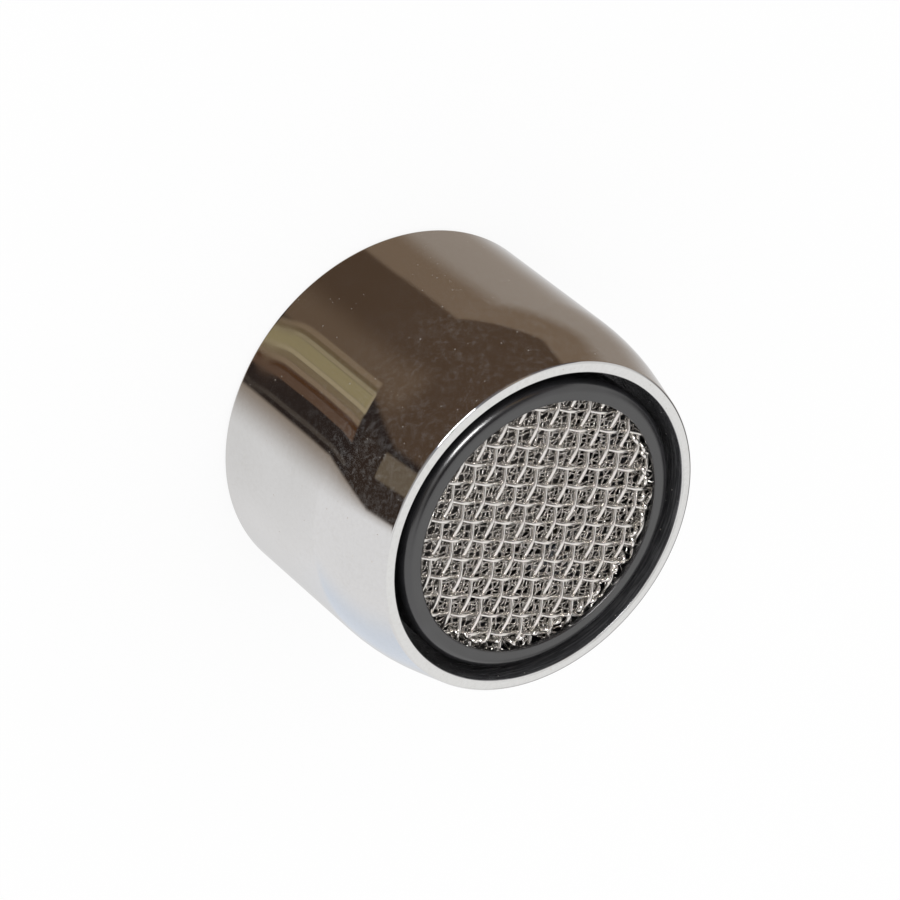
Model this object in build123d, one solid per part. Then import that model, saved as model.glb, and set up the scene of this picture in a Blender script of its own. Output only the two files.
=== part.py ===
from build123d import *
from math import floor, pi, radians, sin, sqrt, tan
import os

# Tap aerator, millimetres. It stands on its inlet end: water enters at height 0 and leaves upwards.

# Thread that screws on to the spout, metric fine
thread_diameter = 22.0
thread_pitch = 1.0
thread_length = 4.0
thread_chamfer = 0.4

# Depth of a metric thread's wall for each millimetre of pitch
thread_depth_ratio = 5 / 16 * sqrt(3)

# Largest share of a wall that a broken edge may take
edge_share = 0.4

# Housing, a turned sleeve
housing_length = 16.55
housing_wall = 1.0
undercut_depth = 0.25
inlet_edge = 0.17
taper_angle = 14.0
taper_round = 17.0
seat_width = 0.7
seat_thickness = 0.9
rim_width = 0.69
rim_edge = 0.12

# Sealing washer
washer_gap = 0.2
washer_thickness = 1.6
washer_clearance = 0.1
washer_hole_margin = 0.4

# Cage, the moulded body of the insert
flange_clearance = 0.06
flange_web = 0.8
recess_wall = 1.2
cage_clearance = 0.15
cage_wall = 0.65
air_gap = 0.7
collar_recess = 0.08
collar_edge = 0.4
lip_overlap = 0.55
lip_thickness = 0.35
window_count = 8
window_margin = 0.4
window_rib = 2.4

# Strainer, a slotted hat
insert_clearance = 0.05
strainer_wall = 0.5
strainer_rim_width = 1.55
crown_rise = 1.4
crown_slope = 0.7
slot_count = 16
slot_width = 0.6
slot_margin = 0.6
slot_hub = 2.4

# Jet plate
jet_thickness = 0.9
jet_count = 20
jet_width = 0.8
jet_length = 1.6
jet_inset = 0.7
spreader_radius = 4.4
spreader_clearance = 0.6

# Gauzes and the ring that keeps them
screen_clearance = 0.1
outlet_pitch = 1.25
outlet_wire = 0.28
outlet_turn = 30.0
fine_pitch = 1.25
fine_wire = 0.18
fine_turn = 41.0
retainer_width = 0.7
retainer_thickness = 0.7

# Radii, each from the piece that it fits
thread_radius = thread_diameter / 2
thread_minor_radius = thread_radius - thread_depth_ratio * thread_pitch
housing_radius = thread_radius + housing_wall
flange_radius = thread_minor_radius - flange_clearance
recess_radius = flange_radius - recess_wall
seat_radius = flange_radius - seat_width
cage_radius = seat_radius - cage_clearance
cage_bore = cage_radius - cage_wall
lip_radius = cage_bore - lip_overlap
outlet_radius = cage_radius + air_gap
rim_radius = outlet_radius + rim_width
insert_radius = recess_radius - insert_clearance
hat_radius = insert_radius - strainer_rim_width
screen_radius = cage_bore - screen_clearance

# Heights along the flow
washer_top = thread_length + washer_gap
flange_top = washer_top + washer_thickness
jet_top = flange_top + strainer_wall
recess_floor = jet_top + jet_thickness
seat_top = recess_floor + flange_web
seat_bottom = seat_top + seat_thickness
collar_face = housing_length - collar_recess
lip_top = collar_face - lip_thickness
outlet_screen_top = lip_top - 2 * outlet_wire
fine_screen_top = outlet_screen_top - 2 * fine_wire
retainer_top = fine_screen_top - retainer_thickness


# A turned solid from corners of radius, height and edge radius
def turned(corners):
    points = [(radius, height) for radius, height, edge in corners]
    edges = [edge for radius, height, edge in corners]
    outline = FilletPolyline(*points, radius=edges, close=True)
    return revolve(Plane.XZ * make_face(outline), Axis.Z)


# Sleeve with a threaded inlet, a seat for the insert and an outlet end that tapers to a flat rim
def make_housing():
    mouth = min(thread_chamfer, edge_share * housing_wall)
    foot = min(inlet_edge, edge_share * housing_wall)
    rim = min(rim_edge, edge_share * rim_width)
    shoulder = housing_length - (housing_radius - rim_radius) / tan(radians(taper_angle))
    undercut_radius = thread_radius + undercut_depth
    return turned([
        (thread_radius + mouth, 0, 0),
        (housing_radius - foot, 0, 0),
        (housing_radius, foot, 0),
        (housing_radius, shoulder, taper_round),
        (rim_radius + rim * tan(radians(taper_angle)), housing_length - rim, 0),
        (rim_radius - rim, housing_length, 0),
        (outlet_radius, housing_length, 0),
        (outlet_radius, seat_bottom, 0),
        (seat_radius, seat_bottom, 0),
        (seat_radius, seat_top, 0),
        (undercut_radius, seat_top, 0),
        (undercut_radius, thread_length, 0),
        (thread_radius, thread_length - undercut_depth, 0),
        (thread_radius, mouth, 0),
    ])


# Flat rubber ring that the end of the spout presses on the flange
def make_washer():
    outer = flange_radius - washer_clearance
    inner = hat_radius + washer_hole_margin
    return turned([
        (inner, washer_top, 0),
        (outer, washer_top, 0),
        (outer, flange_top, 0),
        (inner, flange_top, 0),
    ])


# Flanged tube with a recess for strainer and jet plate, air windows all round and a lip under the gauzes
def make_cage():
    edge = min(collar_edge, edge_share * (cage_wall + lip_overlap))
    body = turned([
        (recess_radius, flange_top, 0),
        (flange_radius, flange_top, 0),
        (flange_radius, seat_top, 0),
        (cage_radius, seat_top, 0),
        (cage_radius, collar_face - edge, 0),
        (cage_radius - edge, collar_face, 0),
        (lip_radius, collar_face, 0),
        (lip_radius, lip_top, 0),
        (cage_bore, lip_top, 0),
        (cage_bore, recess_floor, 0),
        (recess_radius, recess_floor, 0),
    ])
    window_top = seat_bottom + window_margin
    window_bottom = retainer_top - window_margin
    window_width = 2 * cage_radius * sin(pi / window_count) - window_rib
    window_height = window_bottom - window_top
    window = Box(cage_radius, window_width, window_height, align=(Align.MIN, Align.CENTER, Align.MIN))
    return body - Pos(0, 0, window_top) * PolarLocations(cage_bore / 2, window_count) * window


# Hat with sloping sides on a flat rim, its crown cut by radial slots
def make_strainer():
    crown_top = flange_top - crown_rise
    crown_radius = hat_radius - crown_slope
    inner_radius = crown_radius - strainer_wall
    body = turned([
        (0, crown_top, 0),
        (crown_radius, crown_top, 0),
        (hat_radius, flange_top, 0),
        (insert_radius, flange_top, 0),
        (insert_radius, jet_top, 0),
        (hat_radius - strainer_wall, jet_top, 0),
        (inner_radius, crown_top + strainer_wall, 0),
        (0, crown_top + strainer_wall, 0),
    ])
    slot_length = inner_radius - slot_margin - slot_hub
    slot = Box(slot_length, slot_width, 2 * strainer_wall)
    crown_middle = crown_top + strainer_wall / 2
    return body - Pos(0, 0, crown_middle) * PolarLocations(slot_hub + slot_length / 2, slot_count) * slot


# Disc with a low cone that spreads the water to a ring of slotted jets
def make_jet_plate():
    spreader_top = jet_top - crown_rise + spreader_clearance
    body = turned([
        (0, spreader_top, 0),
        (spreader_radius, jet_top, 0),
        (insert_radius, jet_top, 0),
        (insert_radius, recess_floor, 0),
        (0, recess_floor, 0),
    ])
    jet = Box(jet_length, jet_width, jet_thickness, align=(Align.MAX, Align.CENTER, Align.MIN))
    return body - Pos(0, 0, jet_top) * PolarLocations(hat_radius - jet_inset, jet_count) * jet


# Disc of gauze: wires in two crossing layers that meet at each crossing
def make_screen(pitch, wire, top, turn):
    reach = floor(sqrt(((screen_radius - wire) / pitch) ** 2 - 1))
    strips = Sketch() + GridLocations(0, pitch, 1, 2 * reach + 1) * Rectangle(2 * screen_radius, wire)
    layer = extrude(strips & Circle(screen_radius), wire)
    crossing = Pos(0, 0, wire) * Rot(0, 0, 90) * layer
    return Pos(0, 0, top) * Rot(0, 0, turn) * (layer + crossing)


# Ring pressed into the cage on top of the gauzes
def make_retainer():
    outer = cage_bore - insert_clearance
    inner = outer - retainer_width
    return turned([
        (inner, retainer_top, 0),
        (outer, retainer_top, 0),
        (outer, fine_screen_top, 0),
        (inner, fine_screen_top, 0),
    ])


pieces = {
    "housing": make_housing(),
    "sealing_washer": make_washer(),
    "strainer": make_strainer(),
    "jet_plate": make_jet_plate(),
    "cage": make_cage(),
    "screen_retainer": make_retainer(),
    "fine_screen": make_screen(fine_pitch, fine_wire, fine_screen_top, fine_turn),
    "outlet_screen": make_screen(outlet_pitch, outlet_wire, outlet_screen_top, outlet_turn),
}

os.makedirs("parts", exist_ok=True)
for name, shape in pieces.items():
    export_step(shape, f"parts/{name}.step")
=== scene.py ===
import math

import bpy
import numpy as np
from mathutils import Matrix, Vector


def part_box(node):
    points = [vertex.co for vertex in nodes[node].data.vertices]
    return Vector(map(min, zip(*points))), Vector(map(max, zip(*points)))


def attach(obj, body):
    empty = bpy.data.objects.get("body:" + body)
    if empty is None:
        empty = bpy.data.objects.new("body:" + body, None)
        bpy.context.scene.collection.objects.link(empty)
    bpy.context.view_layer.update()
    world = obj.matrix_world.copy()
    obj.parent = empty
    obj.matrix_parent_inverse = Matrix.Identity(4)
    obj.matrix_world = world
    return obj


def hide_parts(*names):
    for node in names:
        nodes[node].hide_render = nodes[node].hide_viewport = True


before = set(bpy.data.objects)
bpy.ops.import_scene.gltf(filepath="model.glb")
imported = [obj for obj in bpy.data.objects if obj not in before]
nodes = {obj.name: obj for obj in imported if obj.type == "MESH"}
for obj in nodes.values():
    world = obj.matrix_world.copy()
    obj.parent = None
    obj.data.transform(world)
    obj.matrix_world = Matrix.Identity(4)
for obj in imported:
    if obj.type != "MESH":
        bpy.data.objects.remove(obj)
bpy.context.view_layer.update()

mm = 0.001  # shapes below are worked out in millimetres, the frame is in metres
print("frame loaded:", ", ".join(sorted(nodes)))


# Shader maths: a wrapped socket adds a Math node for each operator, and node() makes any other node
class Socket:
    def __init__(self, tree, link=None):
        self.tree = tree
        self.link = link

    def node(self, kind, settings=None, inputs=None, output=0):
        made = self.tree.nodes.new(kind)
        for key, value in (settings or {}).items():
            setattr(made, key, value)
        for key, value in (inputs or {}).items():
            if isinstance(value, Socket):
                self.tree.links.new(value.link, made.inputs[key])
            else:
                made.inputs[key].default_value = value
        return Socket(self.tree, made.outputs[output] if made.outputs else None)

    def maths(self, operation, first, second=0.0):
        return self.node("ShaderNodeMath", {"operation": operation}, {0: first, 1: second})

    def __add__(self, other):
        return self.maths("ADD", self, other)

    def __radd__(self, other):
        return self.maths("ADD", other, self)

    def __sub__(self, other):
        return self.maths("SUBTRACT", self, other)

    def __rsub__(self, other):
        return self.maths("SUBTRACT", other, self)

    def __mul__(self, other):
        return self.maths("MULTIPLY", self, other)

    def __rmul__(self, other):
        return self.maths("MULTIPLY", other, self)

    def clamp(self, low, high):  # kept between two values
        return self.maths("MINIMUM", self.maths("MAXIMUM", self, low), high)

    def rise(self, low, high):  # 0 below low, 1 above high, an S curve between
        settings = {"interpolation_type": "SMOOTHSTEP"}
        return self.node("ShaderNodeMapRange", settings, {"Value": self, "From Min": low, "From Max": high})

    def band(self, low, high, soft):  # 1 between two edges, each softened to both sides
        return self.rise(low - soft, low + soft) * (1 - self.rise(high - soft, high + soft))

    def over(self, below, above):  # as a mask, lays one colour over another
        return self.node("ShaderNodeMix", {"data_type": "RGBA"}, {"Factor": self, 6: below, 7: above}, 2)

    def parts(self):  # x, y and z of a vector
        made = self.node("ShaderNodeSeparateXYZ", None, {"Vector": self})
        return [Socket(self.tree, output) for output in made.link.node.outputs]


def newMaterial(name):  # the material, a maker of its nodes, and the place on the piece in millimetres
    material = bpy.data.materials.new(name)
    material.use_nodes = True
    material.node_tree.nodes.clear()
    make = Socket(material.node_tree)
    place = make.node("ShaderNodeTexCoord", None, None, "Object")
    place = make.node("ShaderNodeVectorMath", {"operation": "SCALE"}, {0: place, "Scale": 1 / mm})
    return material, make, place


def noise(place, scale, detail, roughness=0.5, stretch=(1, 1, 1)):  # scale is for each millimetre
    mapped = place.node("ShaderNodeMapping", None, {"Vector": place, "Scale": stretch})
    inputs = {"Vector": mapped, "Scale": scale, "Detail": detail, "Roughness": roughness}
    return place.node("ShaderNodeTexNoise", None, inputs)


def bump(height, strength, depth):  # depth in millimetres
    inputs = {"Strength": strength, "Distance": depth * mm, "Height": height}
    return height.node("ShaderNodeBump", None, inputs)


def surface(make, settings):  # a Principled shader with these sockets, joined to the output
    shader = make.node("ShaderNodeBsdfPrincipled", None, settings)
    make.node("ShaderNodeOutputMaterial", None, {"Surface": shader})


# In the finishes a noise is its scale, detail, roughness and stretch, and a range is where its mask starts
# and where it is full

# Chromium plate: mirror bright outside, with a faint ripple, specks of dust and a thin film of dirt, which
# thickens towards the outlet and in one smudge; the bore has turned lines, and past the seat its wall is
# painted dark grey and matt as painted shade, with the turned lines drawn lighter on it as painted highlight
chromeFinish = {
    "colour": (0.725, 0.725, 0.72, 1), "stain": (0.695, 0.69, 0.68, 1), "gloss": 0.03,
    "ripple": 0.035, "rippleNoise": (0.2, 0.0),
    "film": 0.003, "smear": 0.004, "smearNoise": (0.5, 6.0), "smearRange": (0.45, 0.75), "smearGloss": 0.03,
    "haze": 0.01, "hazeNoise": (3.4, 5.0), "hazeRange": (0.35, 0.7), "hazeLeast": 0.3,
    "stainLeast": 0.4, "stainSmear": 0.6,
    "grit": 0.09, "gritNoise": (3.0, 6.0, 0.75), "gritRange": (0.42, 0.78), "gritHeights": (4.0, 11.0),
    "smudge": 0.06, "smudgePlace": (4.0, -11.0, 13.0), "smudgeReach": (1.5, 4.5),
    "dust": (0.62, 0.58, 0.52, 1), "speck": 0.28, "speckSize": 0.055, "speckLeast": 0.4, "speckSpread": 0.8,
    "speckCore": 0.5, "speckRange": (0.31, 0.32), "speckGloss": 0.3, "cells": 2.6,
    "bore": (10.28, 10.48), "boreRoughness": 0.14, "lines": 0.015, "lineRange": (0.4, 0.7),
    "lineNoise": (9.0, 2.0, 0.5, (0.06, 0.06, 1.0)),
    # The bore past the seat is painted dark grey and matt as painted shade, and its turned lines are drawn
    # lighter there as painted highlight
    "boreShadeHeights": (8.85, 8.95), "boreShadeRadii": (10.26, 10.3), "boreShadeMatt": 0.35,
    "boreShade": (0.15, 0.15, 0.16, 1), "boreLineSheen": (0.34, 0.34, 0.35, 1)}


def makeChrome():
    finish = chromeFinish
    material, make, place = newMaterial("chromePlate")
    x, y, z = place.parts()
    radius = make.maths("SQRT", x * x + y * y)
    bore = 1 - radius.rise(*finish["bore"])
    # painted shade: a mask for the bore wall past the seat, deep between housing and cage
    boreShade = z.rise(*finish["boreShadeHeights"]) * (1 - radius.rise(*finish["boreShadeRadii"]))
    smear = noise(place, *finish["smearNoise"]).rise(*finish["smearRange"])
    haze = noise(place, *finish["hazeNoise"]).rise(*finish["hazeRange"])
    grit = noise(place, *finish["gritNoise"]).rise(*finish["gritRange"])
    lines = noise(place, *finish["lineNoise"])
    ripple = noise(place, *finish["rippleNoise"])
    # chance gives a cell its speck and the speck its size
    cells = make.node("ShaderNodeTexVoronoi", None, {"Vector": place, "Scale": finish["cells"]})
    chance = Socket(make.tree, cells.link.node.outputs["Color"]).parts()
    size = finish["speckLeast"] + chance[1] * finish["speckSpread"]
    specks = 1 - (cells * (1 / finish["speckSize"] / finish["cells"])).rise(size * finish["speckCore"], size)
    specks = specks * (1 - chance[0].rise(*finish["speckRange"]))
    stain = haze * (finish["stainLeast"] + smear * finish["stainSmear"])
    plate = stain.over(finish["colour"], finish["stain"])
    # the bore past the seat takes a painted dark grey as shade, with its turned lines a lighter painted
    # highlight
    plate = boreShade.over(plate, lines.rise(*finish["lineRange"]).over(finish["boreShade"], finish["boreLineSheen"]))
    ends = {0: place, 1: finish["smudgePlace"]}
    away = make.node("ShaderNodeVectorMath", {"operation": "DISTANCE"}, ends, "Value")
    smudge = (1 - away.rise(*finish["smudgeReach"])) * finish["smudge"]
    spread = z.rise(*finish["gritHeights"]) * finish["grit"]
    film = finish["film"] + smear * finish["smear"] + haze * (finish["hazeLeast"] + smear) * finish["haze"]
    # the bore's painted shade is made matt as well, so that its dark grey shows
    film = film + grit * (spread + smudge) + boreShade * finish["boreShadeMatt"]
    roughness = finish["gloss"] + smear * finish["smearGloss"] + bore * finish["boreRoughness"]
    surface(make, {
        "Base Color": specks.over(plate, finish["dust"]),
        "Metallic": 1 - film - specks * finish["speck"],
        "Roughness": roughness + specks * finish["speckGloss"],
        "Normal": bump(lines * bore * finish["lines"] + ripple * finish["ripple"], 1.0, 1.0),
    })
    return material


# Moulded plastic with a fine grain and faint rings from the turned mould: a dense glossy black for cage and
# gauze ring, and a matt grey for the jet plate, which shows as a dim ground behind the gauzes
blackFinish = {"colour": (0.011, 0.011, 0.012, 1), "worn": (0.018, 0.018, 0.02, 1), "roughness": 0.17,
               "ior": 1.85}
mattFinish = {"colour": (0.16, 0.15, 0.14, 1), "worn": (0.22, 0.205, 0.19, 1), "roughness": 0.55, "ior": 1.4}
mouldGrain = {"rings": 38.0, "ringGloss": 0.02, "ringHeight": 0.3, "cloudNoise": (0.8, 4.0),
              "cloudRange": (0.3, 0.75), "cloudGloss": 0.1, "grainNoise": (18.0, 2.0), "strength": 0.12,
              "depth": 0.008}


def makeMoulded(name, finish):
    material, make, place = newMaterial(name)
    x, y = place.parts()[:2]
    radius = make.maths("SQRT", x * x + y * y)
    rings = make.maths("SINE", radius * mouldGrain["rings"]) * 0.5 + 0.5
    cloud = noise(place, *mouldGrain["cloudNoise"])
    height = noise(place, *mouldGrain["grainNoise"]) + rings * mouldGrain["ringHeight"]
    surface(make, {
        "Base Color": cloud.rise(*mouldGrain["cloudRange"]).over(finish["colour"], finish["worn"]),
        "Roughness": finish["roughness"] + cloud * mouldGrain["cloudGloss"] + rings * mouldGrain["ringGloss"],
        "IOR": finish["ior"],
        "Normal": bump(height, mouldGrain["strength"], mouldGrain["depth"]),
    })
    return material


# Stainless wire: drawn lines, a little lime and dirt
wireFinish = {"colour": (0.81, 0.785, 0.75, 1), "dirt": (0.68, 0.65, 0.60, 1), "roughness": 0.19}
fineWireFinish = {"colour": (0.73, 0.705, 0.675, 1), "dirt": (0.52, 0.5, 0.46, 1), "roughness": 0.16}
wireGrain = {"dirtNoise": (1.6, 3.0), "dirtRange": (0.5, 0.9), "grainNoise": (16.0, 2.0), "grainGloss": 0.1,
             "strength": 0.25, "depth": 0.01}


def makeWire(name, finish):
    material, make, place = newMaterial(name)
    dirt = noise(place, *wireGrain["dirtNoise"]).rise(*wireGrain["dirtRange"])
    grain = noise(place, *wireGrain["grainNoise"])
    surface(make, {
        "Base Color": dirt.over(finish["colour"], finish["dirt"]),
        "Metallic": 1.0,
        "Roughness": finish["roughness"] + grain * wireGrain["grainGloss"],
        "Normal": bump(grain, wireGrain["strength"], wireGrain["depth"]),
    })
    return material


# Plain moulded goods under a deposit that comes in clouds: washer rubber, matt black with a dusty bloom, and
# the strainer's pale acetal with lime
rubberFinish = {"colour": (0.018, 0.018, 0.019, 1), "deposit": (0.06, 0.06, 0.06, 1), "roughness": 0.62,
                "depositNoise": (1.1, 5.0), "depositRange": (0.4, 0.8), "depositGloss": 0.2,
                "grainNoise": (12.0, 3.0), "strength": 0.4, "depth": 0.02}
acetalFinish = {"colour": (0.66, 0.67, 0.655, 1), "deposit": (0.50, 0.48, 0.43, 1), "roughness": 0.38,
                "depositNoise": (0.7, 5.0), "depositRange": (0.5, 0.85), "depositGloss": 0.2,
                "grainNoise": (10.0, 3.0), "strength": 0.2, "depth": 0.015}


def makeClouded(name, finish):
    material, make, place = newMaterial(name)
    deposit = noise(place, *finish["depositNoise"]).rise(*finish["depositRange"])
    grain = noise(place, *finish["grainNoise"])
    surface(make, {
        "Base Color": deposit.over(finish["colour"], finish["deposit"]),
        "Roughness": finish["roughness"] + deposit * finish["depositGloss"],
        "Normal": bump(grain, finish["strength"], finish["depth"]),
    })
    return material


finishes = {
    "chrome_plate": makeChrome(),
    "black_plastic": makeMoulded("blackPlastic", blackFinish),
    "matt_plastic": makeMoulded("mattPlastic", mattFinish),
    "steel_wire": makeWire("steelWire", wireFinish),
    "fine_wire": makeWire("fineWire", fineWireFinish),
    "washer_rubber": makeClouded("washerRubber", rubberFinish),
    "pale_plastic": makeClouded("palePlastic", acetalFinish),
}
print("finishes made:", ", ".join(finishes))


# A piece takes an array of points, arrays of faces and one normal for each face corner
def makePiece(name, points, faces, normals, node, slot):
    corners = np.concatenate([part.ravel() for part in faces])
    sizes = np.concatenate([np.full(len(part), part.shape[1]) for part in faces])
    mesh = bpy.data.meshes.new(name)
    mesh.vertices.add(len(points))
    mesh.vertices.foreach_set("co", (points * mm).astype(np.float32).ravel())
    mesh.loops.add(len(corners))
    mesh.loops.foreach_set("vertex_index", corners.astype(np.int32))
    mesh.polygons.add(len(sizes))
    mesh.polygons.foreach_set("loop_start", (np.cumsum(sizes) - sizes).astype(np.int32))
    mesh.update(calc_edges=True)
    mesh.normals_split_custom_set(np.concatenate([part.reshape(-1, 3) for part in normals]))
    mesh.materials.append(finishes[slot])
    piece = bpy.data.objects.new(name, mesh)
    bpy.context.scene.collection.objects.link(piece)
    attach(piece, "root")
    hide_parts(node)
    print(f"{name}: {len(points)} points, {int((sizes - 2).sum())} triangles")
    return piece


# Outline of a turned piece, anticlockwise in radius and height. Each corner is a radius, a height and the
# radius of its round: the heading turns evenly along the round, by a step in degrees at most, and the point
# lies that radius from the round's centre, on the side away from it. Returns radius, height and outward
# normal of each point.
def outline(corners, step):
    places = np.array([corner[:2] for corner in corners], float)
    points = []
    normals = []
    for index, (place, corner) in enumerate(zip(places, corners)):
        before = place - places[index - 1]
        after = places[(index + 1) % len(places)] - place
        heading = math.atan2(before[1], before[0])
        turn = (math.atan2(after[1], after[0]) - heading + math.pi) % (2 * math.pi) - math.pi
        side = math.copysign(1, turn)
        count = max(1, math.ceil(abs(math.degrees(turn)) / step))
        headings = heading + turn * np.linspace(0, 1, count + 1) if abs(turn) > 1e-6 else np.array([heading])
        outward = np.stack([np.sin(headings), -np.cos(headings)], 1)
        start = place - corner[2] * math.tan(abs(turn) / 2) * before / np.hypot(*before)
        centre = start - side * corner[2] * outward[0]
        points.append(centre + side * corner[2] * outward)
        normals.append(outward)
    return np.concatenate(points), np.concatenate(normals)


# Faces of a grid of points that closes on itself both ways
def gridFaces(rows, columns):
    row = np.arange(rows)[:, None]
    column = np.arange(columns)[None, :]
    nextRow = (row + 1) % rows
    nextColumn = (column + 1) % columns
    return np.stack([row * columns + column, row * columns + nextColumn,
                     nextRow * columns + nextColumn, nextRow * columns + column], 2)


# Turns an outline round the axis: x and y are the radius times the angle's cosine and sine. The angles may
# differ from row to row.
def turnOutline(points, normals, angles):
    def turned(pair):
        radius = pair[:, :1] * np.ones_like(angles)
        height = pair[:, 1:] * np.ones_like(angles)
        return np.stack([radius * np.cos(angles), radius * np.sin(angles), height], 2)
    return turned(points), turned(normals)


# The normal of a flat face is the cross product of its diagonals
def flatNormals(points, faces):
    across = points[faces[:, 2]] - points[faces[:, 0]]
    along = points[faces[:, -1]] - points[faces[:, 1]]
    facing = np.cross(across, along)
    facing /= np.linalg.norm(facing, axis=1, keepdims=True)
    return np.repeat(facing[:, None, :], faces.shape[1], 1)


def evenTurn(columns):  # angles of a full turn, in one row
    return np.linspace(0, 2 * math.pi, columns, endpoint=False)[None, :]


# Housing: a turned sleeve, its bore cut by the thread, its outlet end drawn in on a long round to a flat rim
housingShape = {"threadRadius": 11.0, "pitch": 1.0, "threadDepth": 0.541, "threadEnd": 4.0, "relief": 0.25,
                "rootFlat": 0.125, "crestStart": 0.75, "growIn": 0.6, "growOut": 0.4, "growEnd": 0.3,
                "mouth": 0.4, "footRound": 0.3, "taper": 14.0, "taperRound": 17.0, "rimRadius": 10.94,
                "rimRound": 0.16, "outletRadius": 10.25, "outletRound": 0.07, "seatRadius": 9.7,
                "seatTop": 8.0, "seatBottom": 8.9, "cornerRound": 0.05, "threadRows": 60, "columns": 256,
                "step": 3.0}


# Height of the thread's ridge: a triangle wave of the height in pitches less the turn, with an eighth cut off
# at the root and a quarter at the crest, times the depth; it grows in from both ends
def threadRidge(height, angle):
    shape = housingShape
    phase = height / shape["pitch"] - angle / (2 * math.pi)
    wave = np.abs(2 * (phase - np.floor(phase)) - 1)
    flank = np.clip((wave - shape["rootFlat"]) / (shape["crestStart"] - shape["rootFlat"]), 0, 1)
    growIn = np.clip((height - shape["mouth"]) / shape["growIn"], 0, 1)
    growOut = np.clip((shape["threadEnd"] - shape["growEnd"] - height) / shape["growOut"], 0, 1)
    return shape["threadDepth"] * flank * (growIn * growOut)


def makeHousing():
    shape = housingShape
    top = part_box("housing")[1]
    outer = top.x / mm
    length = top.z / mm
    corner = shape["cornerRound"]
    shoulder = length - (outer - shape["rimRadius"]) / math.tan(math.radians(shape["taper"]))
    reliefRadius = shape["threadRadius"] + shape["relief"]
    reliefStart = shape["threadEnd"] - shape["relief"]
    threadHeights = np.linspace(reliefStart, shape["mouth"], shape["threadRows"] + 2)[1:-1]
    points, normals = outline([
        (shape["threadRadius"] + shape["mouth"], 0, corner),
        (outer, 0, shape["footRound"]),
        (outer, shoulder, shape["taperRound"]),
        (shape["rimRadius"], length, shape["rimRound"]),
        (shape["outletRadius"], length, shape["outletRound"]),
        (shape["outletRadius"], shape["seatBottom"], corner),
        (shape["seatRadius"], shape["seatBottom"], corner),
        (shape["seatRadius"], shape["seatTop"], corner),
        (reliefRadius, shape["seatTop"], corner),
        (reliefRadius, shape["threadEnd"], corner),
        (shape["threadRadius"], reliefStart, corner),
        *[(shape["threadRadius"], height, 0) for height in threadHeights],
        (shape["threadRadius"], shape["mouth"], corner),
    ], shape["step"])
    turn = evenTurn(shape["columns"])
    places, outward = turnOutline(points, normals, turn)
    # the thread's wall moves in by the ridge, and its normal leans by the ridge's slope along and across
    wall = np.isclose(points[:, 0], shape["threadRadius"]) & (points[:, 1] < reliefStart)
    height = points[wall, 1][:, None]
    nearby = 0.02  # step in height for the slope
    slope = (threadRidge(height - nearby, turn) - threadRidge(height + nearby, turn)) / (2 * nearby)
    radius = shape["threadRadius"] - threadRidge(height, turn)
    cosine = np.cos(turn)
    sine = np.sin(turn)
    across = -slope * shape["pitch"] / (2 * math.pi) / radius
    places[wall, :, 0] = radius * cosine
    places[wall, :, 1] = radius * sine
    facing = np.stack([-cosine - across * sine, -sine + across * cosine, slope], 2)
    outward[wall] = facing / np.linalg.norm(facing, axis=2, keepdims=True)
    faces = gridFaces(*places.shape[:2]).reshape(-1, 4)
    return makePiece("sleeve", places.reshape(-1, 3), [faces], [outward.reshape(-1, 3)[faces]],
                     "housing", "chrome_plate")


# Cage: the moulded insert, a flanged tube with a rounded collar, a lip under the gauzes and a ring of air
# windows
cageShape = {"recessRadius": 9.2, "recessFloor": 7.2, "flangeEnd": 8.0, "tubeRadius": 9.55, "tubeBore": 8.9,
             "lipRadius": 8.35, "collarRound": 0.7, "lipRound": 0.1, "mouldRound": 0.08, "windows": 8,
             "windowRib": 2.4, "windowTop": 9.3, "windowMargin": 0.4, "paneColumns": 16, "ribColumns": 8,
             "step": 7.5}


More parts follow.
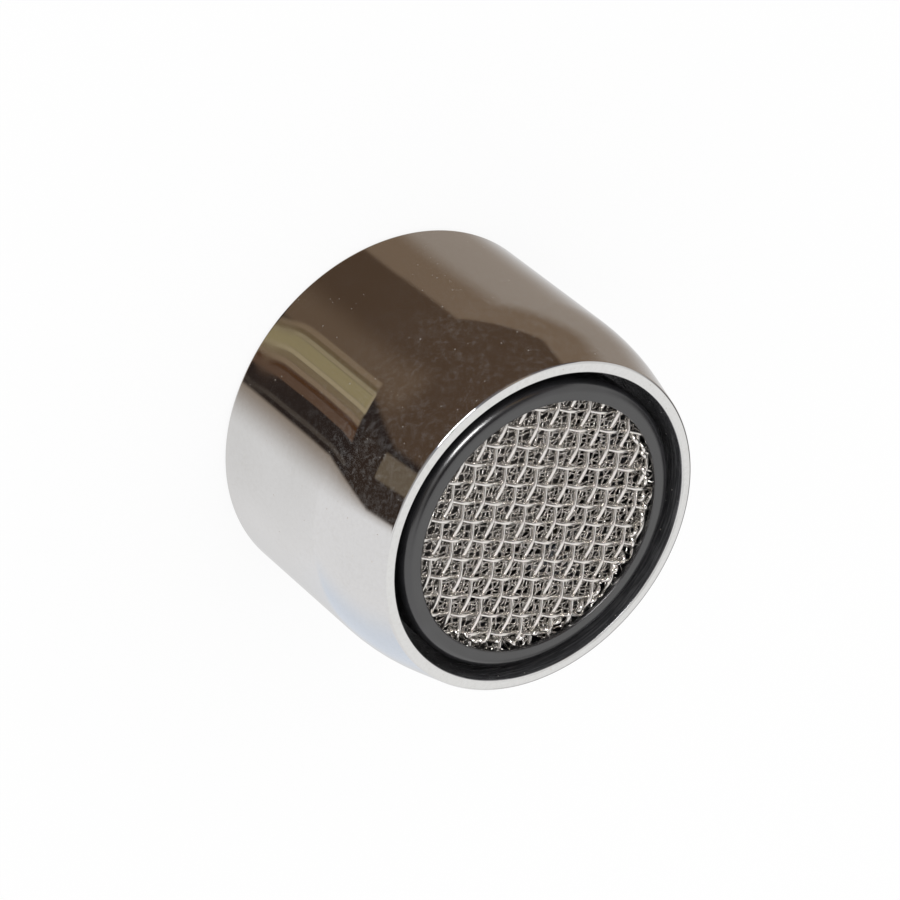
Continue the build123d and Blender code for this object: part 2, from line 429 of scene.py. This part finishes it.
def makeCage():
    shape = cageShape
    low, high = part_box("cage")
    flangeRadius = high.x / mm
    flangeTop = low.z / mm
    collarFace = high.z / mm
    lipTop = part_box("outlet_screen")[1].z / mm
    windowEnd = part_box("screen_retainer")[0].z / mm - shape["windowMargin"]
    soft = shape["mouldRound"]
    points, normals = outline([
        (shape["recessRadius"], flangeTop, soft),
        (flangeRadius, flangeTop, soft),
        (flangeRadius, shape["flangeEnd"], soft),
        (shape["tubeRadius"], shape["flangeEnd"], soft),
        (shape["tubeRadius"], shape["windowTop"], 0),
        (shape["tubeRadius"], windowEnd, 0),
        (shape["tubeRadius"], collarFace, shape["collarRound"]),
        (shape["lipRadius"], collarFace, shape["lipRound"]),
        (shape["lipRadius"], lipTop, soft),
        (shape["tubeBore"], lipTop, soft),
        (shape["tubeBore"], windowEnd, 0),
        (shape["tubeBore"], shape["windowTop"], 0),
        (shape["tubeBore"], shape["recessFloor"], soft),
        (shape["recessRadius"], shape["recessFloor"], soft),
    ], shape["step"])
    # a window's sides are parallel: its edge lies at the angle whose sine is half its width over the radius
    sector = 2 * math.pi / shape["windows"]
    halfWidth = shape["tubeRadius"] * math.sin(sector / 2) - shape["windowRib"] / 2
    panes = shape["paneColumns"]
    ribs = shape["ribColumns"]
    ribShare = np.arange(1, ribs) / ribs
    edgeShare = np.concatenate([np.linspace(-1, 1, panes + 1), 1 - 2 * ribShare])
    sectorShare = np.concatenate([np.zeros(panes + 1), ribShare])
    centres = np.arange(shape["windows"])[:, None] * sector
    edge = np.arcsin(halfWidth / points[:, 0])[:, None, None]
    angles = (centres + sectorShare * sector + edgeShare * edge).reshape(len(points), -1)
    places, outward = turnOutline(points, normals, angles)
    rows, columns = angles.shape
    faces = gridFaces(rows, columns)
    # the panes of both walls come out, and four strips line each window
    startsPane = np.isclose(points[:, 1], shape["windowTop"]) & np.isclose(points[:, 0], shape["tubeRadius"])
    outerLow = int(np.flatnonzero(startsPane)[0])
    endsPane = np.isclose(points[:, 1], windowEnd) & np.isclose(points[:, 0], shape["tubeBore"])
    innerHigh = int(np.flatnonzero(endsPane)[0])
    isPane = np.arange(columns) % (panes + ribs) < panes
    keep = np.ones((rows, columns), bool)
    keep[outerLow, isPane] = False
    keep[innerHigh, isPane] = False
    walls = faces[keep]
    left = np.flatnonzero(isPane)
    right = left + 1
    first = np.arange(shape["windows"]) * (panes + ribs)
    last = first + panes
    outerBelow, outerAbove, innerAbove, innerBelow = [
        row * columns for row in (outerLow, outerLow + 1, innerHigh, innerHigh + 1)]
    lining = np.concatenate([
        np.stack([innerBelow + left, outerBelow + left, outerBelow + right, innerBelow + right], 1),
        np.stack([innerAbove + left, innerAbove + right, outerAbove + right, outerAbove + left], 1),
        np.stack([outerBelow + first, innerBelow + first, innerAbove + first, outerAbove + first], 1),
        np.stack([outerBelow + last, outerAbove + last, innerAbove + last, innerBelow + last], 1),
    ])
    flat = places.reshape(-1, 3)
    return makePiece("insertCage", flat, [walls, lining],
                     [outward.reshape(-1, 3)[walls], flatNormals(flat, lining)], "cage", "black_plastic")


# Washer and gauze ring: plain turned rings with softened edges
ringShapes = {
    "sealing_washer": {"piece": "washer", "slot": "washer_rubber", "width": 2.3, "round": 0.22,
                       "columns": 128, "step": 11.25},
    "screen_retainer": {"piece": "gauzeRing", "slot": "black_plastic", "width": 0.7, "round": 0.1,
                        "columns": 128, "step": 11.25},
}


def makeRing(node):
    shape = ringShapes[node]
    low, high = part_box(node)
    outer = high.x / mm
    inner = outer - shape["width"]
    points, normals = outline([
        (inner, low.z / mm, shape["round"]),
        (outer, low.z / mm, shape["round"]),
        (outer, high.z / mm, shape["round"]),
        (inner, high.z / mm, shape["round"]),
    ], shape["step"])
    places, outward = turnOutline(points, normals, evenTurn(shape["columns"]))
    faces = gridFaces(*places.shape[:2]).reshape(-1, 4)
    return makePiece(shape["piece"], places.reshape(-1, 3), [faces], [outward.reshape(-1, 3)[faces]],
                     node, shape["slot"])


# Gauzes: plain weaves of round wire cut to a disc. A layer has two families of wires, each with a thickness,
# a heading in degrees, a pitch and an offset; a level is a height in the piece, from 0 at its inlet side to 1
# at its outlet side. Loose ends of the coarse gauze are bent in small arches along its far edge.
gauzeShapes = {
    "outlet_screen": {
        "piece": "outletGauze", "finish": "steel_wire", "rounds": 12, "samples": 110, "inset": 0.03,
        "seed": 3,
        "layers": [
            {"level": 0.5, "wire": (0.29, 0.245), "heading": (30.2, 118.25), "pitch": (1.168, 1.238),
             "offset": (-1.005, 0.025), "drift": 0.012, "curl": 0.0},
        ],
        "arches": 27, "archSpan": (4, 166), "archStray": 0.4, "archRadius": (7.8, 8.2),
        "archWidth": (0.22, 0.42), "archHeight": (0.38, 0.55), "archTurn": 0.7, "archLean": (-0.4, 0.0),
        "archFoot": 0.15, "archSamples": 24, "archLevel": 0.1, "archWire": 0.27,
    },
    "fine_screen": {
        "piece": "fineGauze", "finish": "fine_wire", "rounds": 6, "samples": 110, "inset": 0.03,
        "seed": 5,
        "layers": [
            {"level": 0.65, "wire": (0.13, 0.125), "heading": (40.7, 135.3), "pitch": (0.546, 0.513),
             "offset": (0.1, 0), "drift": 0.03, "curl": 0.5},
            {"level": 0.36, "wire": (0.125, 0.125), "heading": (20.0, 113.0), "pitch": (0.546, 0.513),
             "offset": (0.36, 0.24), "drift": 0.035, "curl": 0.4},
        ],
        "arches": 0,
    },
}
# Bends of all wires: wander along them, and the length, the side step and the share of the curled ends
wireBends = {"wander": 0.9, "wanderPhase": 6.0, "curlLength": 1.3, "curlAside": 1.4, "curlShare": 0.35,
             "curlLeast": 0.2, "curlMost": 1.2}


# Wires of one family. A wire keeps its place across the disc and runs along a chord. Its height is half the
# mean thickness times the cosine of half a turn for each pitch of the wires it crosses; neighbours are half a
# turn apart. Near its ends a wire may curl up and aside with the square of the share of its last stretch,
# most on the far side.
def wireLines(shape, layer, family, radius, draws):
    other = 1 - family
    headings = np.radians(layer["heading"])
    forward = np.stack([np.cos(headings), np.sin(headings)], 1)
    sideways = np.stack([-np.sin(headings), np.cos(headings)], 1)
    pitch = layer["pitch"][family]
    offset = layer["offset"]
    most = int(radius / pitch) + 1
    number = np.arange(-most, most + 1)
    number = number[np.abs(number * pitch + offset[family]) < radius - layer["wire"][family]][:, None]
    across = number * pitch + offset[family] + draws.uniform(-1, 1, number.shape) * layer["drift"]
    reach = np.sqrt(radius**2 - across**2)
    along = np.linspace(-1, 1, shape["samples"]) * reach
    phase = draws.uniform(0, wireBends["wanderPhase"], number.shape)
    wander = layer["drift"] * np.sin(along * wireBends["wander"] + phase)
    far = (along * forward[family, 1] + across * sideways[family, 1]) / radius
    share = np.clip(wireBends["curlShare"] + far, wireBends["curlLeast"], wireBends["curlMost"])
    stretch = np.clip((np.abs(along) - reach) / wireBends["curlLength"] + 1, 0, 1)
    curl = layer["curl"] * share * stretch**2
    aside = draws.uniform(-wireBends["curlAside"], wireBends["curlAside"], number.shape)
    aside = across + wander + curl * aside
    level = along[..., None] * forward[family] + aside[..., None] * sideways[family]
    crossed = (level @ sideways[other] - offset[other]) / layer["pitch"][other]
    height = (1 - 2 * family) * sum(layer["wire"]) / 4 * np.cos(math.pi * (crossed + number))
    height = height + curl * draws.uniform(0, 1, number.shape)
    return np.concatenate([level, height[..., None]], 2), np.append(sideways[family], 0)


# Bent ends: half ellipses that stand on the gauze, each at its own angle and radius, turned and leaning by
# chance. A point is the foot's middle, plus the width times the cosine along it, plus the height times the
# sine up the lean.
def archLines(shape, draws):
    count = shape["arches"]
    stray = draws.uniform(-shape["archStray"], shape["archStray"], count)
    angle = np.interp(np.arange(count) + stray, (0, count - 1), np.radians(shape["archSpan"]))
    radius, width, height = [draws.uniform(*shape[key], count)[:, None, None]
                             for key in ("archRadius", "archWidth", "archHeight")]
    heading = angle + math.pi / 2 + draws.uniform(-shape["archTurn"], shape["archTurn"], count)
    none = np.zeros(count)
    middle = radius * np.stack([np.cos(angle), np.sin(angle), none], 1)[:, None]
    along = np.stack([np.cos(heading), np.sin(heading), none], 1)
    inward = np.stack([np.sin(heading), -np.cos(heading), none], 1)
    upward = inward * draws.uniform(*shape["archLean"], (count, 1)) + np.array([0, 0, 1])
    sweep = np.linspace(-shape["archFoot"], math.pi + shape["archFoot"], shape["archSamples"])[None, :, None]
    lines = middle + along[:, None] * width * np.cos(sweep) + upward[:, None] * height * np.sin(sweep)
    return lines, np.cross(along, upward)[:, None]


# A round tube along each line: the section lies in the plane of the level sideways direction and the normal
# square to it and to the line
def tubes(lines, sideways, radius, rounds):
    heading = np.gradient(lines, axis=1)
    heading /= np.linalg.norm(heading, axis=2, keepdims=True)
    upright = np.cross(heading, sideways)
    upright /= np.linalg.norm(upright, axis=2, keepdims=True)
    level = np.cross(upright, heading)
    turn = np.arange(rounds) * 2 * math.pi / rounds
    outward = level[:, :, None] * np.cos(turn)[:, None] + upright[:, :, None] * np.sin(turn)[:, None]
    return lines[:, :, None] + radius * outward, outward, heading


# A gauze is a bundle of tubes for each family of wires, closed by a flat cap at each end
def makeGauze(node):
    shape = gauzeShapes[node]
    low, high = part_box(node)
    draws = np.random.default_rng(shape["seed"])
    radius = high.x / mm - shape["inset"]
    bundles = []
    for layer in shape["layers"]:
        for family, wire in enumerate(layer["wire"]):
            bundles.append((*wireLines(shape, layer, family, radius, draws), layer["level"], wire))
    if shape["arches"]:
        bundles.append((*archLines(shape, draws), shape["archLevel"], shape["archWire"]))
    points = []
    normals = []
    walls = []
    caps = []
    capNormals = []
    total = 0
    for lines, sideways, level, wire in bundles:
        lines[..., 2] += (low.z + (high.z - low.z) * level) / mm
        places, outward, heading = tubes(lines, sideways, wire / 2, shape["rounds"])
        wires, samples, rounds = places.shape[:3]
        number = total + np.arange(wires * samples * rounds).reshape(wires, samples, rounds)
        beside = np.roll(number, -1, 2)
        around = np.stack([number[:, :-1], beside[:, :-1], beside[:, 1:], number[:, 1:]], 3)
        walls.append(around.reshape(-1, 4))
        points.append(places.reshape(-1, 3))
        normals.append(outward.reshape(-1, 3))
        caps += [number[:, 0, ::-1], number[:, -1]]
        capNormals += [np.repeat(-heading[:, :1], rounds, 1), np.repeat(heading[:, -1:], rounds, 1)]
        total += number.size
    walls = np.concatenate(walls)
    piece = makePiece(shape["piece"], np.concatenate(points), [walls, *caps],
                      [np.concatenate(normals)[walls], *capNormals], node, "steel_wire")
    piece.data.materials[0] = finishes[shape["finish"]]
    return piece


makeHousing()
makeCage()
for node in ringShapes:
    makeRing(node)
for node in gauzeShapes:
    makeGauze(node)
for node, finish in (("strainer", "pale_plastic"), ("jet_plate", "matt_plastic")):
    nodes[node].data.materials.clear()
    nodes[node].data.materials.append(finishes[finish])
print("pieces made")


# Floor: a pale disc that keeps a light shadow and that the plate doesn't mirror, so that the room below shows
# there
floorShape = {"radius": 0.6, "drop": 0.00002, "sides": 96, "colour": (0.98, 0.98, 0.98, 1), "glow": 0.88}


def makeFloor():
    angles = evenTurn(floorShape["sides"])[0]
    radius = floorShape["radius"]
    height = np.full(len(angles), -floorShape["drop"])
    points = np.stack([radius * np.cos(angles), radius * np.sin(angles), height], 1)
    mesh = bpy.data.meshes.new("floor")
    mesh.from_pydata(points.tolist(), [], [list(range(len(angles)))])
    floor = bpy.data.objects.new("floor", mesh)
    bpy.context.scene.collection.objects.link(floor)
    material, make = newMaterial("floorPaper")[:2]
    paper = make.node("ShaderNodeBsdfDiffuse", None, {"Color": floorShape["colour"]})
    white = make.node("ShaderNodeEmission", None, {"Color": (1, 1, 1, 1), "Strength": 1.0})
    seen = make.node("ShaderNodeLightPath", None, None, "Is Camera Ray")
    shader = make.node("ShaderNodeMixShader", None, {0: seen * floorShape["glow"], 1: paper, 2: white})
    make.node("ShaderNodeOutputMaterial", None, {"Surface": shader})
    mesh.materials.append(material)
    floor.visible_glossy = False


makeFloor()

# Room: white all round for the camera and for plain light. What the plate mirrors is a room by direction:
# azimuth from the camera's side towards +X and elevation, both in degrees. In front it is dark, with a
# striped panel low down, a few lit patches above and a black ceiling. On one side there is a taupe wall, on
# the other a pale one, and both turn grey low down and bright high up towards the back, where a dark band
# stands.
roomColours = {
    "white": (1, 1, 1, 1), "dark": (0.086, 0.054, 0.034, 1), "dusk": (0.17, 0.155, 0.16, 1),
    "glow": (0.137, 0.092, 0.06, 1), "black": (0.026, 0.018, 0.015, 1), "smoke": (0.036, 0.024, 0.018, 1),
    "patch": (0.145, 0.112, 0.077, 1), "strip": (0.23, 0.165, 0.106, 1), "rail": (0.155, 0.11, 0.06, 1),
    "line": (0.31, 0.25, 0.155, 1), "panel": (0.305, 0.25, 0.135, 1), "edge": (0.37, 0.30, 0.185, 1),
    "grey": (0.205, 0.152, 0.09, 1), "buff": (0.245, 0.175, 0.115, 1), "red": (0.082, 0.036, 0.015, 1),
    "brown": (0.118, 0.07, 0.046, 1), "thread": (0.07, 0.056, 0.046, 1), "taupe": (0.33, 0.277, 0.232, 1),
    "taupeBrown": (0.203, 0.143, 0.097, 1), "paleEdge": (0.26, 0.205, 0.158, 1),
    "pale": (0.80, 0.79, 0.785, 1), "paleHigh": (0.905, 0.895, 0.9, 1), "blue": (0.765, 0.815, 0.9, 1),
    "far": (0.72, 0.715, 0.715, 1), "bright": (0.97, 0.965, 0.955, 1), "behind": (0.07, 0.066, 0.068, 1),
    "warm": (1.0, 0.66, 0.3, 1), "haze": (0.62, 0.66, 0.74, 1), "mist": (0.66, 0.64, 0.62, 1)}
# Two angles are where a rise starts and is full, three are a band's edges and its softness
roomAngles = {
    "middle": -45.0, "span": (-60.0, -18.0), "dipStart": -47.3, "dipMost": 1.3,
    "dusk": (-10.0, 8.0), "glow": (-24.0, 2.0, 10.0), "glowTop": (-34.0, -20.0),
    "slant": 0.6, "black": (24.0, 29.0), "smoke": (29.0, 39.0), "smokeFoot": (-40.0, -30.0),
    "patch": (20.0, 34.0, 1.0), "patchFoot": (-21.0, -20.0),
    "panelSlant": 0.12, "panelTop": (-42.5, -40.9), "panelDip": 8.0, "stripeSoft": 0.6,
    "sill": (0.0, 12.0, 1.0), "sillHeight": (-42.3, -41.2, 0.5),
    "taupeStart": -67.3, "taupeSlope": 0.93, "taupeDip": 7.0, "taupeSoft": 2.2, "taupeBrown": (-38.0, -19.0),
    "taupeTop": (-14.0, 20.0), "taupeBack": (-178.0, -130.0), "backTop": (-30.0, -10.0),
    "paleStart": 45.3, "paleBend": 0.009, "paleSoft": 1.4, "paleRamp": (-4.0, 25.0), "paleRampSlope": 0.75,
    "paleHigh": (-48.2, -44.5), "paleBack": (118.0, 170.0),
    "blue": (118.0, 158.0, 16.0), "blueHeight": (-44.5, -24.0, 1.5),
    "behindLeft": (-148.0, -119.0), "behindRight": (152.0, 178.0), "behindHeight": (-6.0, 32.0, 10.0),
    "ceiling": (-105.0, 105.0, 25.0), "ceilingFoot": (58.0, 74.0)}
# Stripes of the low panel: colour, first and last azimuth
roomStripes = (
    ("strip", -7.2, -3.4), ("rail", -3.4, -1.0), ("line", -1.0, 1.8), ("panel", 1.8, 9.4),
    ("edge", 9.4, 12.4), ("grey", 12.4, 16.2), ("buff", 16.2, 19.8), ("brown", 19.8, 20.9),
    ("red", 20.9, 23.0), ("brown", 23.0, 28.8), ("black", 28.8, 39.0), ("thread", 39.0, 42.0),
    ("black", 42.0, 60.0))
# Lit patches above: colour, band of elevation, band of azimuth
roomPatches = (
    ("warm", (34.0, 41.0, 2.0), (-70.0, -50.0, 2.0)), ("haze", (37.0, 51.0, 3.0), (-38.0, 26.0, 5.0)),
    ("mist", (40.0, 62.0, 4.0), (8.0, 48.0, 6.0)))


def makeRoom():
    world = bpy.data.worlds.new("room")
    bpy.context.scene.world = world
    world.use_nodes = True
    world.node_tree.nodes.clear()
    make = Socket(world.node_tree)
    colours = roomColours
    angles = roomAngles
    x, y, z = make.node("ShaderNodeTexCoord", None, None, "Generated").parts()
    azimuth = make.maths("ARCTAN2", x, 0 - y) * math.degrees(1)
    elevation = make.maths("ARCSINE", z) * math.degrees(1)
    raised = elevation.clamp(*angles["span"]) - angles["middle"]
    dip = (angles["dipStart"] - elevation).clamp(0.0, angles["dipMost"])  # turns edges aside near the floor
    dip = dip * dip
    # dark front with a warm glow, a black corner and a small pale patch
    colour = elevation.rise(*angles["dusk"]).over(colours["dark"], colours["dusk"])
    glow = azimuth.band(*angles["glow"]) * (1 - elevation.rise(*angles["glowTop"]))
    colour = glow.over(colour, colours["glow"])
    slanted = azimuth - elevation * angles["slant"]
    colour = slanted.rise(*angles["black"]).over(colour, colours["black"])
    smoke = slanted.rise(*angles["smoke"]) * elevation.rise(*angles["smokeFoot"])
    colour = smoke.over(colour, colours["smoke"])
    patch = elevation.rise(*angles["patchFoot"]) * azimuth.band(*angles["patch"])
    colour = patch.over(colour, colours["patch"])
    # striped panel with a light sill
    height = elevation - azimuth * angles["panelSlant"]
    panel = 1 - height.rise(*angles["panelTop"])
    bent = azimuth - dip * angles["panelDip"]
    for name, start, stop in roomStripes:
        colour = (panel * bent.band(start, stop, angles["stripeSoft"])).over(colour, colours[name])
    sill = height.band(*angles["sillHeight"]) * azimuth.band(*angles["sill"])
    colour = sill.over(colour, colours["edge"])
    # walls on both sides and the back
    back = elevation.rise(*angles["backTop"]).over(colours["far"], colours["bright"])
    fromTaupe = azimuth + raised * angles["taupeSlope"] + dip * angles["taupeDip"] - angles["taupeStart"]
    taupe = fromTaupe.rise(*angles["taupeBrown"]).over(colours["taupe"], colours["taupeBrown"])
    taupe = elevation.rise(*angles["taupeTop"]).over(taupe, colours["pale"])
    taupe = (1 - azimuth.rise(*angles["taupeBack"])).over(taupe, back)
    colour = (1 - fromTaupe.rise(-angles["taupeSoft"], angles["taupeSoft"])).over(colour, taupe)
    fromPale = azimuth - raised * raised * angles["paleBend"] - angles["paleStart"]
    rampStart, rampStop = angles["paleRamp"]
    ramp = fromPale.rise(rampStart, rampStop - raised * angles["paleRampSlope"])
    pale = elevation.rise(*angles["paleHigh"]).over(colours["pale"], colours["paleHigh"])
    pale = ramp.over(colours["paleEdge"], pale)
    pale = azimuth.rise(*angles["paleBack"]).over(pale, back)
    pale = (elevation.band(*angles["blueHeight"]) * azimuth.band(*angles["blue"])).over(pale, colours["blue"])
    colour = fromPale.rise(-angles["paleSoft"], angles["paleSoft"]).over(colour, pale)
    behind = 1 - azimuth.rise(*angles["behindLeft"]) * (1 - azimuth.rise(*angles["behindRight"]))
    colour = (behind * elevation.band(*angles["behindHeight"])).over(colour, colours["behind"])
    # black ceiling in front, and the lit patches under it
    ceiling = elevation.rise(*angles["ceilingFoot"]) * azimuth.band(*angles["ceiling"])
    colour = ceiling.over(colour, colours["black"])
    for name, heights, sides in roomPatches:
        colour = (elevation.band(*heights) * azimuth.band(*sides)).over(colour, colours[name])
    ray = make.node("ShaderNodeLightPath")
    plain = [Socket(make.tree, ray.link.node.outputs[name]) for name in ("Is Camera Ray", "Is Diffuse Ray")]
    shown = make.maths("MAXIMUM", *plain).over(colour, colours["white"])
    light = make.node("ShaderNodeBackground", None, {"Color": shown, "Strength": 1.0})
    make.node("ShaderNodeOutputWorld", None, {"Surface": light})


makeRoom()

# Key lamp: a broad one beside the camera, which draws the glints on edges and wires
keyLamp = {"azimuth": -16.0, "elevation": 44.5, "distance": 0.6, "width": 0.24, "height": 0.15, "watts": 2.2}


def makeKey():
    light = bpy.data.lights.new("key", "AREA")
    light.shape = "RECTANGLE"
    light.size = keyLamp["width"]
    light.size_y = keyLamp["height"]
    light.energy = keyLamp["watts"]
    lamp = bpy.data.objects.new("key", light)
    bpy.context.scene.collection.objects.link(lamp)
    turn = math.radians(keyLamp["azimuth"])
    tilt = math.radians(keyLamp["elevation"])
    lamp.location = [keyLamp["distance"] * part for part in
                     (math.sin(turn) * math.cos(tilt), -math.cos(turn) * math.cos(tilt), math.sin(tilt))]
    lamp.rotation_euler = (math.pi / 2 - tilt, 0, turn)
    lamp.visible_diffuse = False


makeKey()

# Camera at the photograph's angle: the part stands, and the camera looks down on it and rolls
cameraView = {"lens": 184.0, "elevation": 45.15, "roll": 129.2, "height": 16.5, "right": 5.36, "down": 4.63,
              "ahead": 272.5, "nearest": 0.01}


def makeCamera():
    tilt = math.radians(cameraView["elevation"])
    roll = math.radians(cameraView["roll"])
    forward = np.array([0, math.cos(tilt), -math.sin(tilt)])
    level = np.array([1, 0, 0])
    upright = np.array([0, math.sin(tilt), math.cos(tilt)])
    right = level * math.cos(roll) + upright * math.sin(roll)
    up = upright * math.cos(roll) - level * math.sin(roll)
    aim = np.array([0, 0, cameraView["height"]])
    eye = aim - right * cameraView["right"] + up * cameraView["down"] - forward * cameraView["ahead"]
    lens = bpy.data.cameras.new("view")
    lens.lens = cameraView["lens"]
    lens.clip_start = cameraView["nearest"]
    camera = bpy.data.objects.new("view", lens)
    bpy.context.scene.collection.objects.link(camera)
    camera.matrix_world = Matrix(np.vstack([np.stack([right, up, -forward, eye * mm], 1), [0, 0, 0, 1]]))
    bpy.context.scene.camera = camera


makeCamera()
bpy.context.scene.view_settings.view_transform = "Standard"
print("stage, light and camera set")
